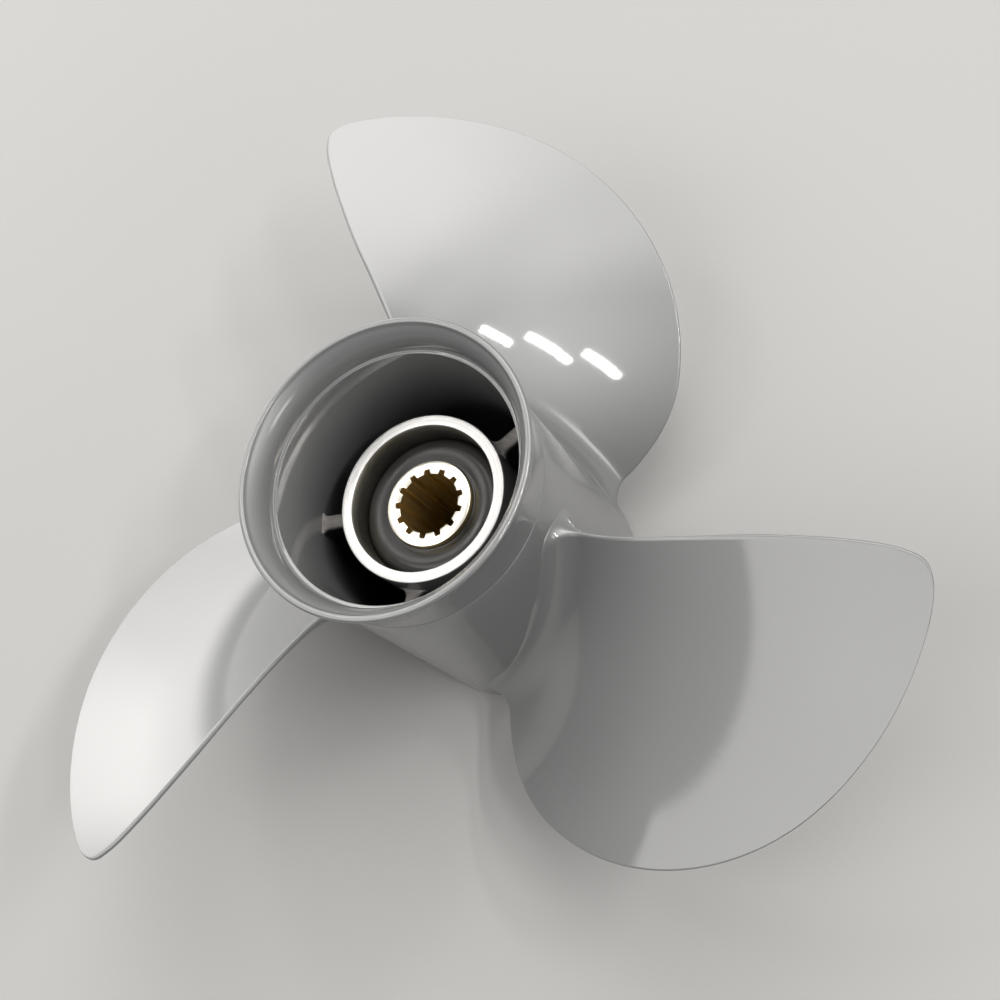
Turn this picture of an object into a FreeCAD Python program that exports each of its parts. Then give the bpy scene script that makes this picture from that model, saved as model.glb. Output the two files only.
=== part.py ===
import FreeCAD
import Part
import math
import os

os.makedirs("parts", exist_ok=True)

# Three-bladed outboard propeller with a through-hub exhaust. Millimetres and degrees.
# +Z points aft along the shaft axis. The origin is the centre of the splined sleeve's front face,
# the face that seats on the shaft's thrust washer.

# --- hub barrel, a little wider at the nose than at the seam, and its rear flare
barrel_seam_radius = 40.9
barrel_nose_radius = 42.5
barrel_inner_radius = 37.2
nose_z = -8.0
nose_edge_round = 2.0
rear_rim_z = 106.0
flare_joint_z = 84.9
flare_joint_groove = 0.35
flare_outer_radius = 44.7
flare_lip_round = 1.0
flare_mouth_radius = 42.7
flare_mouth_drop = 0.5
flare_swell = 0.8
flare_swell_height = 11.0
flare_throat_extra = 1.0
flare_throat_drop = 4.5
flare_step_z = 96.5
flare_step_outer_radius = 38.7
flare_step_inner_radius = 37.7

# --- inner hub tube and the ribs that carry it
tube_outer_radius = 26.2
tube_inner_radius = 22.6
tube_front_z = -3.0
tube_rear_z = 78.3
tube_chamfer = 0.4
# The ribs are not evenly spaced, so each one's angle is given.
rib_angles = [43.3, 188.9, 266.2]
rib_end_half_width = 4.3
rib_waist_half_width = 2.4
rib_front_z = 0.0
rib_rear_z = 70.5

# --- rubber bushing and splined sleeve
rubber_clearance = 0.05
rubber_front_z = 3.5
rubber_rear_z = 71.4
rubber_shoulder_round = 4.2
sleeve_outer_radius = 13.5
sleeve_length = 72.8
sleeve_chamfer = 0.3
pilot_radius = 11.3
pilot_depth = 8.0
spline_count = 13
spline_first_angle = 101.7
spline_land_radius = 9.4
spline_groove_radius = 10.9
groove_mouth_width = 12.5
groove_floor_width = 9.0

# --- blades; the root's edges are thick where they meet the barrel and thin out over the fade
blade_count = 3
blade_first_angle = 85.2
blade_tip_radius = 144.5
blade_pitch = 329.0
blade_reference_z = 49.7
rake_slope = 0.098
rake_curve = 0.00026
outline_base_radius = 36.4
# Angles about the axis, from the leading root round the tip to the trailing root, at equal steps.
outline_angles = [-47.5, -45.7, -40.9, -32.4, -22.6, -12.1, -1.1, 11.2, 22.5,
                  27.0, 28.4, 28.85, 28.8, 28.2, 26.6, 24.6, 24.0]
root_start = 0.018
tip_end = 0.985
root_thickness = 10.5
tip_thickness = 2.2
edge_thickness = 1.5
root_edge_thickness = 5.0
root_edge_fade = 14.0
root_fillet = 8.5
trailing_foot_share = 0.4
span_steps = 30
span_crowding = 1.6
chord_steps = 22
surface_degree = 3

# --- how far a cutter or a rib blank runs past the surface it meets, and how far below the nose
cut_overlap = 1.0
blade_trim_depth = 50.0
# --- half the step used to take slopes on the pressure face, in millimetres and in degrees
slope_step = 0.01


def polar(radius, angle, z=0.0):
    """A point from a radius, an angle in degrees and a height."""
    turn = math.radians(angle)
    return FreeCAD.Vector(radius * math.cos(turn), radius * math.sin(turn), z)


def line(start, end):
    """A straight edge in the X-Z plane between two (radius, z) pairs."""
    return Part.makeLine(FreeCAD.Vector(start[0], 0, start[1]), FreeCAD.Vector(end[0], 0, end[1]))


def arc(start, middle, end):
    """A circular edge in the X-Z plane through three (radius, z) pairs."""
    corners = [FreeCAD.Vector(p[0], 0, p[1]) for p in (start, middle, end)]
    return Part.Arc(*corners).toShape()


def quarter_round(start, centre, end):
    """A quarter-circle edge in the X-Z plane from start to end about centre."""
    radius = math.hypot(start[0] - centre[0], start[1] - centre[1])
    across = (start[0] + end[0] - 2 * centre[0], start[1] + end[1] - 2 * centre[1])
    reach = radius / math.hypot(*across)
    middle = (centre[0] + across[0] * reach, centre[1] + across[1] * reach)
    return arc(start, middle, end)


def spun(edges):
    """The solid made by turning a closed profile about the shaft axis."""
    face = Part.Face(Part.Wire(edges))
    return face.revolve(FreeCAD.Vector(0, 0, 0), FreeCAD.Vector(0, 0, 1), 360)


def disc(radius, low_z, high_z):
    """A plain cylinder on the shaft axis."""
    return Part.makeCylinder(radius, high_z - low_z, FreeCAD.Vector(0, 0, low_z))


def barrel_radius(z):
    """The barrel's outside radius at a height."""
    share = (flare_joint_z - z) / (flare_joint_z - nose_z)
    return barrel_seam_radius + (barrel_nose_radius - barrel_seam_radius) * min(max(share, 0.0), 1.0)


def hub_barrel():
    """The outer exhaust tube, from the nose to the seam of the flare, cast with a slight draft."""
    inner = barrel_inner_radius
    groove = flare_joint_groove
    nose = nose_edge_round
    front = barrel_radius(nose_z + nose)
    outer = barrel_radius(flare_joint_z - groove)
    edges = [
        line((inner, nose_z), (front - nose, nose_z)),
        quarter_round((front - nose, nose_z), (front - nose, nose_z + nose), (front, nose_z + nose)),
        line((front, nose_z + nose), (outer, flare_joint_z - groove)),
        line((outer, flare_joint_z - groove), (barrel_seam_radius - groove, flare_joint_z)),
        line((barrel_seam_radius - groove, flare_joint_z), (inner, flare_joint_z)),
        line((inner, flare_joint_z), (inner, nose_z)),
    ]
    return spun(edges)


def diffuser_ring():
    """The flared rear ring: rounded lip, flared mouth and one step inside."""
    outer = barrel_seam_radius
    inner = barrel_inner_radius
    groove = flare_joint_groove
    lip = flare_lip_round
    foot = (outer - groove, flare_joint_z)
    skin = (outer, flare_joint_z + groove)
    swell = (outer + flare_swell, flare_joint_z + flare_swell_height)
    brim = (flare_outer_radius, rear_rim_z - lip)
    crown = (flare_outer_radius - lip, rear_rim_z)
    mouth = (flare_mouth_radius, rear_rim_z - flare_mouth_drop)
    throat = (flare_step_outer_radius + flare_throat_extra, rear_rim_z - flare_throat_drop)
    shelf = (flare_step_outer_radius, flare_step_z)
    ledge = (flare_step_inner_radius, flare_step_z)
    edges = [
        line((inner, flare_joint_z), foot),
        line(foot, skin),
        arc(skin, swell, brim),
        quarter_round(brim, (flare_outer_radius - lip, rear_rim_z - lip), crown),
        line(crown, mouth),
        arc(mouth, throat, shelf),
        line(shelf, ledge),
        line(ledge, (inner, flare_joint_z)),
    ]
    return spun(edges)


def inner_hub_tube():
    """The tube that holds the bushing, faced off square at its rear end."""
    outer = tube_outer_radius
    inner = tube_inner_radius
    bevel = tube_chamfer
    edges = [
        line((inner, tube_front_z), (outer, tube_front_z)),
        line((outer, tube_front_z), (outer, tube_rear_z - bevel)),
        line((outer, tube_rear_z - bevel), (outer - bevel, tube_rear_z)),
        line((outer - bevel, tube_rear_z), (inner + bevel, tube_rear_z)),
        line((inner + bevel, tube_rear_z), (inner, tube_rear_z - bevel)),
        line((inner, tube_rear_z - bevel), (inner, tube_front_z)),
    ]
    return spun(edges)


def hub_rib(angle):
    """One waisted rib between the inner tube and the barrel, at an angle about the axis."""
    near = tube_outer_radius - cut_overlap
    far = barrel_inner_radius + cut_overlap
    middle = 0.5 * (near + far)
    wide = rib_end_half_width
    slim = rib_waist_half_width
    corner = [FreeCAD.Vector(x, y, rib_front_z) for x, y in
              ((near, wide), (far, wide), (far, -wide), (near, -wide))]
    upper = Part.Arc(corner[0], FreeCAD.Vector(middle, slim, rib_front_z), corner[1]).toShape()
    lower = Part.Arc(corner[2], FreeCAD.Vector(middle, -slim, rib_front_z), corner[3]).toShape()
    ends = [Part.makeLine(corner[1], corner[2]), Part.makeLine(corner[3], corner[0])]
    web = Part.Face(Part.Wire([upper, ends[0], lower, ends[1]]))
    block = web.extrude(FreeCAD.Vector(0, 0, rib_rear_z - rib_front_z))
    block = block.common(disc(barrel_inner_radius, rib_front_z, rib_rear_z))
    block = block.cut(disc(tube_outer_radius, rib_front_z, rib_rear_z))
    return block.rotated(FreeCAD.Vector(0, 0, 0), FreeCAD.Vector(0, 0, 1), angle)


def rubber_bushing():
    """The rubber between the sleeve and the inner tube, with rounded shoulders."""
    inner = sleeve_outer_radius
    outer = tube_inner_radius - rubber_clearance
    soft = rubber_shoulder_round
    low = rubber_front_z
    high = rubber_rear_z
    edges = [
        line((inner, low), (outer - soft, low)),
        quarter_round((outer - soft, low), (outer - soft, low + soft), (outer, low + soft)),
        line((outer, low + soft), (outer, high - soft)),
        quarter_round((outer, high - soft), (outer - soft, high - soft), (outer - soft, high)),
        line((outer - soft, high), (inner, high)),
        line((inner, high), (inner, low)),
    ]
    return spun(edges)


def spline_groove(number):
    """One tapered groove of the internal spline, as a cutter."""
    middle = spline_first_angle + number * 360.0 / spline_count
    mouth = 0.5 * groove_mouth_width
    floor = 0.5 * groove_floor_width
    inside = spline_land_radius - cut_overlap
    corner = [
        polar(inside, middle - mouth, pilot_depth),
        polar(spline_land_radius, middle - mouth, pilot_depth),
        polar(spline_groove_radius, middle - floor, pilot_depth),
        polar(spline_groove_radius, middle + floor, pilot_depth),
        polar(spline_land_radius, middle + mouth, pilot_depth),
        polar(inside, middle + mouth, pilot_depth),
    ]
    root = Part.Arc(corner[2], polar(spline_groove_radius, middle, pilot_depth), corner[3]).toShape()
    edges = [
        Part.makeLine(corner[0], corner[1]),
        Part.makeLine(corner[1], corner[2]),
        root,
        Part.makeLine(corner[3], corner[4]),
        Part.makeLine(corner[4], corner[5]),
        Part.makeLine(corner[5], corner[0]),
    ]
    return Part.Face(Part.Wire(edges)).extrude(FreeCAD.Vector(0, 0, sleeve_length - pilot_depth))


def splined_sleeve():
    """The brass sleeve: plain pilot at the front, internal spline behind it."""
    outer = sleeve_outer_radius
    bevel = sleeve_chamfer
    land = spline_land_radius
    edges = [
        line((pilot_radius, 0.0), (outer - bevel, 0.0)),
        line((outer - bevel, 0.0), (outer, bevel)),
        line((outer, bevel), (outer, sleeve_length - bevel)),
        line((outer, sleeve_length - bevel), (outer - bevel, sleeve_length)),
        line((outer - bevel, sleeve_length), (land, sleeve_length)),
        line((land, sleeve_length), (land, pilot_depth)),
        line((land, pilot_depth), (pilot_radius, pilot_depth)),
        line((pilot_radius, pilot_depth), (pilot_radius, 0.0)),
    ]
    grooves = [spline_groove(number) for number in range(spline_count)]
    return spun(edges).cut(grooves)


def outline_angle(position):
    """The blade's edge angle: position -1 is the leading root, 0 the tip, 1 the trailing root."""
    spans = len(outline_angles) - 1
    along = (position + 1.0) * 0.5 * spans
    index = min(int(along), spans - 1)
    part = along - index
    here = outline_angles[index]
    after = outline_angles[index + 1]
    before = outline_angles[index - 1] if index > 0 else 2 * here - after
    beyond = outline_angles[index + 2] if index + 2 <= spans else 2 * after - here
    slope_in = 0.5 * (after - before)
    slope_out = 0.5 * (beyond - here)
    bend = 2 * here - 2 * after + slope_in + slope_out
    sweep = 3 * (after - here) - 2 * slope_in - slope_out
    return here + slope_in * part + sweep * part ** 2 + bend * part ** 3


def helix_point(radius, angle):
    """A point of the pressure face: a true screw surface with a little aft rake."""
    out = radius - barrel_seam_radius
    rake = rake_slope * out - rake_curve * out * out
    rise = blade_pitch * angle / 360.0
    return polar(radius, angle, blade_reference_z + rise + rake)


def helix_normal(radius, angle):
    """The aft-pointing normal of the pressure face, by small differences."""
    step = slope_step
    outwards = helix_point(radius + step, angle) - helix_point(radius - step, angle)
    around = helix_point(radius, angle + step) - helix_point(radius, angle - step)
    normal = outwards.cross(around)
    return normal.normalize()


def fillet_spread(radius, angle):
    """How far the root fillet stands off the blade at a point."""
    left = barrel_radius(helix_point(radius, angle).z) + root_fillet - radius
    left = min(max(left, 0.0), root_fillet)
    return root_fillet - math.sqrt(root_fillet ** 2 - left ** 2)


def rounded_end(gap, spread):
    """The part of the root fillet left at a distance from the blade's edge, rounding the foot."""
    short = max(spread - gap, 0.0)
    return math.sqrt(max(spread ** 2 - short ** 2, 0.0))


def blade_poles():
    """Control points of the pressure face and of the back, root to tip and leading to trailing edge."""
    pressure = []
    back = []
    for row in range(span_steps + 1):
        along = root_start + (tip_end - root_start) * (row / span_steps) ** span_crowding
        reach = blade_tip_radius - outline_base_radius
        radius = outline_base_radius + reach * math.sin(0.5 * math.pi * along)
        per_degree = math.radians(math.hypot(radius, blade_pitch / (2 * math.pi)))
        leading = outline_angle(along - 1.0)
        trailing = outline_angle(1.0 - along)
        leading -= fillet_spread(radius, leading) / per_degree
        trailing += trailing_foot_share * fillet_spread(radius, trailing) / per_degree
        half_chord = 0.5 * (trailing - leading) * per_degree
        height = max(radius - barrel_seam_radius, 0.0)
        outer_part = height / (blade_tip_radius - barrel_seam_radius)
        thick = root_thickness + (tip_thickness - root_thickness) * outer_part
        root_part = max(1.0 - height / root_edge_fade, 0.0) ** 2
        edge = edge_thickness + (root_edge_thickness - edge_thickness) * root_part
        pressure_row = []
        back_row = []
        for column in range(chord_steps + 1):
            across = -math.cos(math.pi * column / chord_steps)
            angle = 0.5 * (leading + trailing) + 0.5 * (trailing - leading) * across
            body = edge + (thick - edge) * (1.0 - across * across)
            spread = fillet_spread(radius, angle)
            stand = rounded_end((1.0 - abs(across)) * half_chord, spread)
            point = helix_point(radius, angle)
            normal = helix_normal(radius, angle)
            pressure_row.append(point + normal * stand)
            back_row.append(point - normal * (body + stand))
        pressure.append(pressure_row)
        back.append(back_row)
    return pressure, back


def pole_face(poles):
    """A B-spline face from a grid of control points, with evenly spaced knots."""
    knots = []
    mults = []
    degrees = []
    for count in (len(poles), len(poles[0])):
        degree = min(surface_degree, count - 1)
        spans = count - degree
        knots.append([float(k) for k in range(spans + 1)])
        mults.append([degree + 1] + [1] * (spans - 1) + [degree + 1])
        degrees.append(degree)
    surface = Part.BSplineSurface()
    surface.buildFromPolesMultsKnots(poles, mults[0], mults[1], knots[0], knots[1],
                                     False, False, degrees[0], degrees[1])
    return surface.toShape()


def barrel_core():
    """The solid space inside the barrel's outside, run on past both ends, that trims the blades."""
    low = nose_z - blade_trim_depth
    corner = [(0, low), (barrel_nose_radius, low), (barrel_nose_radius, nose_z),
              (barrel_seam_radius, flare_joint_z), (barrel_seam_radius, rear_rim_z), (0, rear_rim_z)]
    return spun([line(corner[i], corner[(i + 1) % len(corner)]) for i in range(len(corner))])


def blade(number):
    """One blade, closed by ruled edges and trimmed to the barrel's outside."""
    pressure, back = blade_poles()
    grids = [
        pressure,
        back,
        [[p[0] for p in pressure], [p[0] for p in back]],
        [[p[-1] for p in pressure], [p[-1] for p in back]],
        [pressure[0], back[0]],
        [pressure[-1], back[-1]],
    ]
    shell = Part.Shell([pole_face(grid) for grid in grids])
    shell.sewShape()
    solid = Part.Solid(shell)
    if solid.Volume < 0:
        solid.reverse()
    solid = solid.cut(barrel_core())
    turn = blade_first_angle + number * 360.0 / blade_count
    return solid.rotated(FreeCAD.Vector(0, 0, 0), FreeCAD.Vector(0, 0, 1), turn)


def write(name, shape):
    """Save one node and say how big it is."""
    if shape.ShapeType == "Compound" and len(shape.Solids) == 1:
        shape = shape.Solids[0]
    shape.exportStep("parts/" + name + ".step")
    print(name, shape.ShapeType, len(shape.Solids), shape.isValid(), round(shape.Volume), "mm3")


write("hub_barrel", hub_barrel())
write("diffuser_ring", diffuser_ring())
write("inner_hub_tube", inner_hub_tube())
for rib_number, rib_angle in enumerate(rib_angles):
    write("hub_rib_" + str(rib_number + 1), hub_rib(rib_angle))
for blade_number in range(blade_count):
    write("blade_" + str(blade_number + 1), blade(blade_number))
write("rubber_bushing", rubber_bushing())
write("splined_sleeve", splined_sleeve())
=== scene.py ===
# %% [markdown]
# # A three-bladed outboard propeller
# The measured model gives the sizes. This script builds the looks over it: smooth screw-shaped
# blades, a turned hub with a flared lip, bare machined rings, rubber and brass.
# Everything is in metres. +Z points aft, along the shaft.

# %% Start
import bpy
import math
from mathutils import Matrix, Vector


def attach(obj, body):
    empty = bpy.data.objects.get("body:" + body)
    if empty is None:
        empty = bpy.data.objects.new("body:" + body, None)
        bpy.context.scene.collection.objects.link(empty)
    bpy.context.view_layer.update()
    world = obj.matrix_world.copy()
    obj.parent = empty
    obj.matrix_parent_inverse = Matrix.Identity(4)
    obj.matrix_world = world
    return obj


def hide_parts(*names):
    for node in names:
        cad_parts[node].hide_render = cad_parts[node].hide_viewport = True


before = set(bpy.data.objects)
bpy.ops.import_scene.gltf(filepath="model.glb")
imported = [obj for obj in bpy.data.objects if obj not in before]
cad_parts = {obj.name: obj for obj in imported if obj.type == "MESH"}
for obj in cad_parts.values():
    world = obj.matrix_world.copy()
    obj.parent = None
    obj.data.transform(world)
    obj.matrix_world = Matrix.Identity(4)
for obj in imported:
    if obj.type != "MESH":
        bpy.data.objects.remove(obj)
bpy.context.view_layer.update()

# %% [markdown]
# ## Sizes
# A few named lengths drive every piece. They repeat the measured model's values, so each new piece
# sits where its plain stand-in sat. Only the backs of the blade roots differ: here they stay sunk in
# the barrel wall.

# %% Sizes in metres
MM = 0.001
BARREL_R = 40.9 * MM
NOSE_R = 42.5 * MM
BARREL_IN = 37.2 * MM
NOSE_Z = -8.0 * MM
NOSE_ROUND = 2.0 * MM
RIM_Z = 106.0 * MM
SEAM_Z = 84.9 * MM
RIM_R = 44.7 * MM
LIP_ROUND = 1.0 * MM
STEP_R = 38.7 * MM
STEP_Z = 96.5 * MM
TUBE_R = 26.2 * MM
TUBE_IN = 22.6 * MM
TUBE_Z = 78.3 * MM
TUBE_FRONT_Z = -3.0 * MM
SLEEVE_R = 13.5 * MM
SLEEVE_Z = 72.8 * MM
LAND_R = 9.4 * MM
GROOVE_R = 10.9 * MM
PILOT_R = 11.3 * MM
PILOT_DEPTH = 8.0 * MM
SPLINE_COUNT = 13
RUBBER_Z = 71.4 * MM
RUBBER_FRONT_Z = 3.5 * MM
RUBBER_GAP = 0.05 * MM
RUBBER_ROUND = 4.2 * MM
RIB_Z = 70.5 * MM
BLADE_COUNT = 3
TIP_R = 144.5 * MM
PITCH = 329.0 * MM
BLADE_Z = 49.7 * MM
BLADE_ANGLE = math.radians(85.2)
RIB_ANGLES = [math.radians(angle) for angle in (43.3, 188.9, 266.2)]
SPLINE_ANGLE = math.radians(101.7)
print("blade circle", 2 * TIP_R, "m, pitch", PITCH, "m")

# %% [markdown]
# ## Small helpers
# A turned piece is a list of (radius, height) points spun about the shaft. Spinning is how a lathe
# makes the real rings, and it gives even quads that catch long clean highlights.

# %% Helpers for profiles
def arc_points(centre, radius, start, end, steps):
    """Points on an arc; angles in degrees, measured from outwards towards aft."""
    out = []
    for i in range(steps + 1):
        a = math.radians(start + (end - start) * i / steps)
        out.append((centre[0] + radius * math.cos(a), centre[1] + radius * math.sin(a)))
    return out


def curve_points(a, b, c, steps):
    """A smooth bend from a to c, pulled towards b."""
    out = []
    for i in range(steps + 1):
        t = i / steps
        u = 1.0 - t
        out.append((u * u * a[0] + 2 * u * t * b[0] + t * t * c[0],
                    u * u * a[1] + 2 * u * t * b[1] + t * t * c[1]))
    return out


def spin(name, profile, segments, closed=True):
    """Spin a profile about Z. The profile runs with its outside on the right-hand side."""
    rows = len(profile)
    verts = []
    for i in range(segments):
        a = 2 * math.pi * i / segments
        for r, z in profile:
            verts.append((r * math.cos(a), r * math.sin(a), z))
    faces = []
    for i in range(segments):
        j = (i + 1) % segments
        for k in range(rows if closed else rows - 1):
            m = (k + 1) % rows
            faces.append((i * rows + k, j * rows + k, j * rows + m, i * rows + m))
    mesh = bpy.data.meshes.new(name)
    mesh.from_pydata(verts, [], faces)
    mesh.update()
    for polygon in mesh.polygons:
        polygon.use_smooth = True
    obj = bpy.data.objects.new(name, mesh)
    bpy.context.scene.collection.objects.link(obj)
    return obj


def sharpen(obj, degrees):
    """Mark edges sharper than an angle, so that flats stay flat and rounds stay round."""
    obj.data.set_sharp_from_angle(angle=math.radians(degrees))


def report(obj):
    """Say how big a piece's mesh is."""
    print(obj.name, len(obj.data.vertices), "vertices", len(obj.data.polygons), "faces")


print("a quarter round has", len(arc_points((0.0, 0.0), NOSE_ROUND, 0, 90, 8)), "points")

# %% [markdown]
# ## Helpers for node trees
# What repeats round the shaft, or follows the screw, is grown by a node tree. A tree has named
# inputs, so a count or an angle can be changed later, and its result is kept as a plain mesh.

# %% Helpers for node trees
def new_tree(name, inputs):
    """A Geometry Nodes tree with named inputs: a list of (name, socket type, default)."""
    tree = bpy.data.node_groups.new(name, "GeometryNodeTree")
    tree.interface.new_socket(name="Geometry", in_out="INPUT", socket_type="NodeSocketGeometry")
    for label, kind, default in inputs:
        socket = tree.interface.new_socket(name=label, in_out="INPUT", socket_type=kind)
        if default is not None:
            socket.default_value = default
    tree.interface.new_socket(name="Geometry", in_out="OUTPUT", socket_type="NodeSocketGeometry")
    return tree, tree.nodes.new("NodeGroupInput"), tree.nodes.new("NodeGroupOutput")


def math_node(tree, kind, a, b=None):
    """A Math node; a and b are sockets or plain numbers."""
    node = tree.nodes.new("ShaderNodeMath")
    node.operation = kind
    for slot, value in ((0, a), (1, b)):
        if value is None:
            continue
        if isinstance(value, (int, float)):
            node.inputs[slot].default_value = value
        else:
            tree.links.new(value, node.inputs[slot])
    return node.outputs[0]


def named(tree, name):
    """Read a float stored on the mesh's points."""
    node = tree.nodes.new("GeometryNodeInputNamedAttribute")
    node.data_type = "FLOAT"
    node.inputs["Name"].default_value = name
    return node.outputs["Attribute"]


def ring_of_copies(tree, geometry, count, first_angle, material, weld):
    """Turn one piece into a ring of equal copies about Z, joined and coloured."""
    link = tree.links.new
    points = tree.nodes.new("GeometryNodePoints")
    copies = tree.nodes.new("GeometryNodeInstanceOnPoints")
    index = tree.nodes.new("GeometryNodeInputIndex")
    share = math_node(tree, "DIVIDE", index.outputs[0], count)
    turn = math_node(tree, "ADD", math_node(tree, "MULTIPLY", share, 2 * math.pi), first_angle)
    spinner = tree.nodes.new("ShaderNodeCombineXYZ")
    real = tree.nodes.new("GeometryNodeRealizeInstances")
    join = tree.nodes.new("GeometryNodeMergeByDistance")
    smooth = tree.nodes.new("GeometryNodeSetShadeSmooth")
    paint = tree.nodes.new("GeometryNodeSetMaterial")
    link(count, points.inputs["Count"])
    link(points.outputs[0], copies.inputs["Points"])
    link(geometry, copies.inputs["Instance"])
    link(turn, spinner.inputs["Z"])
    link(spinner.outputs[0], copies.inputs["Rotation"])
    link(copies.outputs[0], real.inputs[0])
    link(real.outputs[0], join.inputs["Geometry"])
    join.inputs["Distance"].default_value = weld
    link(join.outputs[0], smooth.inputs["Geometry"])
    link(smooth.outputs[0], paint.inputs["Geometry"])
    link(material, paint.inputs["Material"])
    return paint.outputs[0]


def grow(obj, tree, values):
    """Run a tree on an object with named values, and keep the result as a plain mesh."""
    modifier = obj.modifiers.new(tree.name, "NODES")
    modifier.node_group = tree
    for item in tree.interface.items_tree:
        if item.in_out == "INPUT" and item.name in values:
            modifier[item.identifier] = values[item.name]
    bpy.context.view_layer.update()
    seen = obj.evaluated_get(bpy.context.evaluated_depsgraph_get())
    mesh = bpy.data.meshes.new_from_object(seen)
    obj.modifiers.clear()
    obj.data = mesh
    return obj


print("node tree helpers:", [f.__name__ for f in (new_tree, math_node, named, ring_of_copies, grow)])

# %% [markdown]
# ## Helpers for materials
# Every finish is built from noise, bands and blends read from the piece's own coordinates. Small
# helpers keep each recipe short enough to read. Pictures wrapped round the piece were the other
# way, but they would stretch on the screw faces.

# %% Helpers for materials
def new_material(name):
    """A new material, its tree and its surface shader."""
    material = bpy.data.materials.new(name)
    material.use_nodes = True
    tree = material.node_tree
    return material, tree, tree.nodes["Principled BSDF"]


def shader_math(tree, kind, a, b=None):
    """A Math node in a material; a and b are sockets or plain numbers."""
    node = tree.nodes.new("ShaderNodeMath")
    node.operation = kind
    for slot, value in ((0, a), (1, b)):
        if value is None:
            continue
        if isinstance(value, (int, float)):
            node.inputs[slot].default_value = value
        else:
            tree.links.new(value, node.inputs[slot])
    return node.outputs[0]


def object_point(tree, scale=(1.0, 1.0, 1.0)):
    """Object coordinates, stretched."""
    where = tree.nodes.new("ShaderNodeTexCoord")
    stretch = tree.nodes.new("ShaderNodeMapping")
    stretch.inputs["Scale"].default_value = scale
    tree.links.new(where.outputs["Object"], stretch.inputs["Vector"])
    return stretch.outputs["Vector"]


def noise(tree, vector, scale, detail=3.0, roughness=0.5):
    """Soft noise from 0 to 1."""
    node = tree.nodes.new("ShaderNodeTexNoise")
    node.inputs["Scale"].default_value = scale
    node.inputs["Detail"].default_value = detail
    node.inputs["Roughness"].default_value = roughness
    tree.links.new(vector, node.inputs["Vector"])
    return node.outputs["Fac"]


def spread(tree, value, low, high, to_low, to_high):
    """Map a value from one range onto another, with the ends held."""
    node = tree.nodes.new("ShaderNodeMapRange")
    ends = (("From Min", low), ("From Max", high), ("To Min", to_low), ("To Max", to_high))
    for slot, number in ends:
        node.inputs[slot].default_value = number
    tree.links.new(value, node.inputs["Value"])
    return node.outputs["Result"]


def blend_colours(tree, factor, first, second):
    """Mix two colours, given as sockets or as plain colours."""
    node = tree.nodes.new("ShaderNodeMix")
    node.data_type = "RGBA"
    for slot, value in ((6, first), (7, second)):
        if isinstance(value, tuple):
            node.inputs[slot].default_value = value
        else:
            tree.links.new(value, node.inputs[slot])
    tree.links.new(factor, node.inputs[0])
    return node.outputs[2]


def bump(tree, height, strength, distance):
    """Turn a height into a normal."""
    node = tree.nodes.new("ShaderNodeBump")
    node.inputs["Strength"].default_value = strength
    node.inputs["Distance"].default_value = distance
    tree.links.new(height, node.inputs["Height"])
    return node.outputs["Normal"]


print("material helpers:", [f.__name__ for f in (new_material, noise, spread, blend_colours, bump)])

# %% [markdown]
# ## Where a point is on the hub
# Paint, metal, casting and brass all change with the distance from the shaft or with the height, so
# one shared group measures both. For the paint it also measures how deep inside the hub a point is,
# because the paint below the inside step is darkened there as painted shade.

# %% The place-on-hub group
INSIDE_FROM_R = 39.0 * MM
INSIDE_TO_R = 39.4 * MM
# Painted shade: from here down to full depth the paint inside the hub is darkened.
PAINTED_SHADE_FROM_Z = RIM_Z - 11.0 * MM
PAINTED_SHADE_FULL_Z = RIM_Z - 52.0 * MM


def hub_place_group():
    """Where a point is on the part: distance from the shaft, height, and how deep inside the hub."""
    group = bpy.data.node_groups.new("place_on_hub", "ShaderNodeTree")
    for label in ("Radius", "Height", "Depth inside"):
        group.interface.new_socket(name=label, in_out="OUTPUT", socket_type="NodeSocketFloat")
    group.interface.new_socket(name="Deepest at", in_out="INPUT", socket_type="NodeSocketFloat")
    given, result = group.nodes.new("NodeGroupInput"), group.nodes.new("NodeGroupOutput")
    where, parts = group.nodes.new("ShaderNodeTexCoord"), group.nodes.new("ShaderNodeSeparateXYZ")
    group.links.new(where.outputs["Object"], parts.inputs[0])
    across = shader_math(group, "POWER", parts.outputs[0], 2.0)
    along = shader_math(group, "POWER", parts.outputs[1], 2.0)
    radius = shader_math(group, "SQRT", shader_math(group, "ADD", across, along))
    inside = spread(group, radius, INSIDE_FROM_R, INSIDE_TO_R, 1.0, 0.0)
    below = group.nodes.new("ShaderNodeMapRange")
    below.interpolation_type = "SMOOTHSTEP"
    below.inputs["From Min"].default_value = PAINTED_SHADE_FROM_Z
    group.links.new(given.outputs["Deepest at"], below.inputs["From Max"])
    group.links.new(parts.outputs[2], below.inputs["Value"])
    group.links.new(radius, result.inputs["Radius"])
    group.links.new(parts.outputs[2], result.inputs["Height"])
    depth = shader_math(group, "MULTIPLY", inside, below.outputs["Result"])
    group.links.new(depth, result.inputs["Depth inside"])
    return group


HUB_PLACE = hub_place_group()


def hub_place(tree):
    """Use the group in a material. The depth runs from 0 where the painted shade starts to 1 where it is
    full.
    """
    node = tree.nodes.new("ShaderNodeGroup")
    node.node_tree = HUB_PLACE
    node.inputs["Deepest at"].default_value = PAINTED_SHADE_FULL_Z
    return node.outputs


print("shared group:", HUB_PLACE.name)

# %% [markdown]
# ## Paint
# The enamel is a glossy mid grey with a little metal flake under a clear coat. A mostly metallic
# paint turns blotchy and a plain one looks chalky, so the flake is set between the two. Faint
# clouding, a fine orange peel and a few dust nibs break up the reflections.

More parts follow.
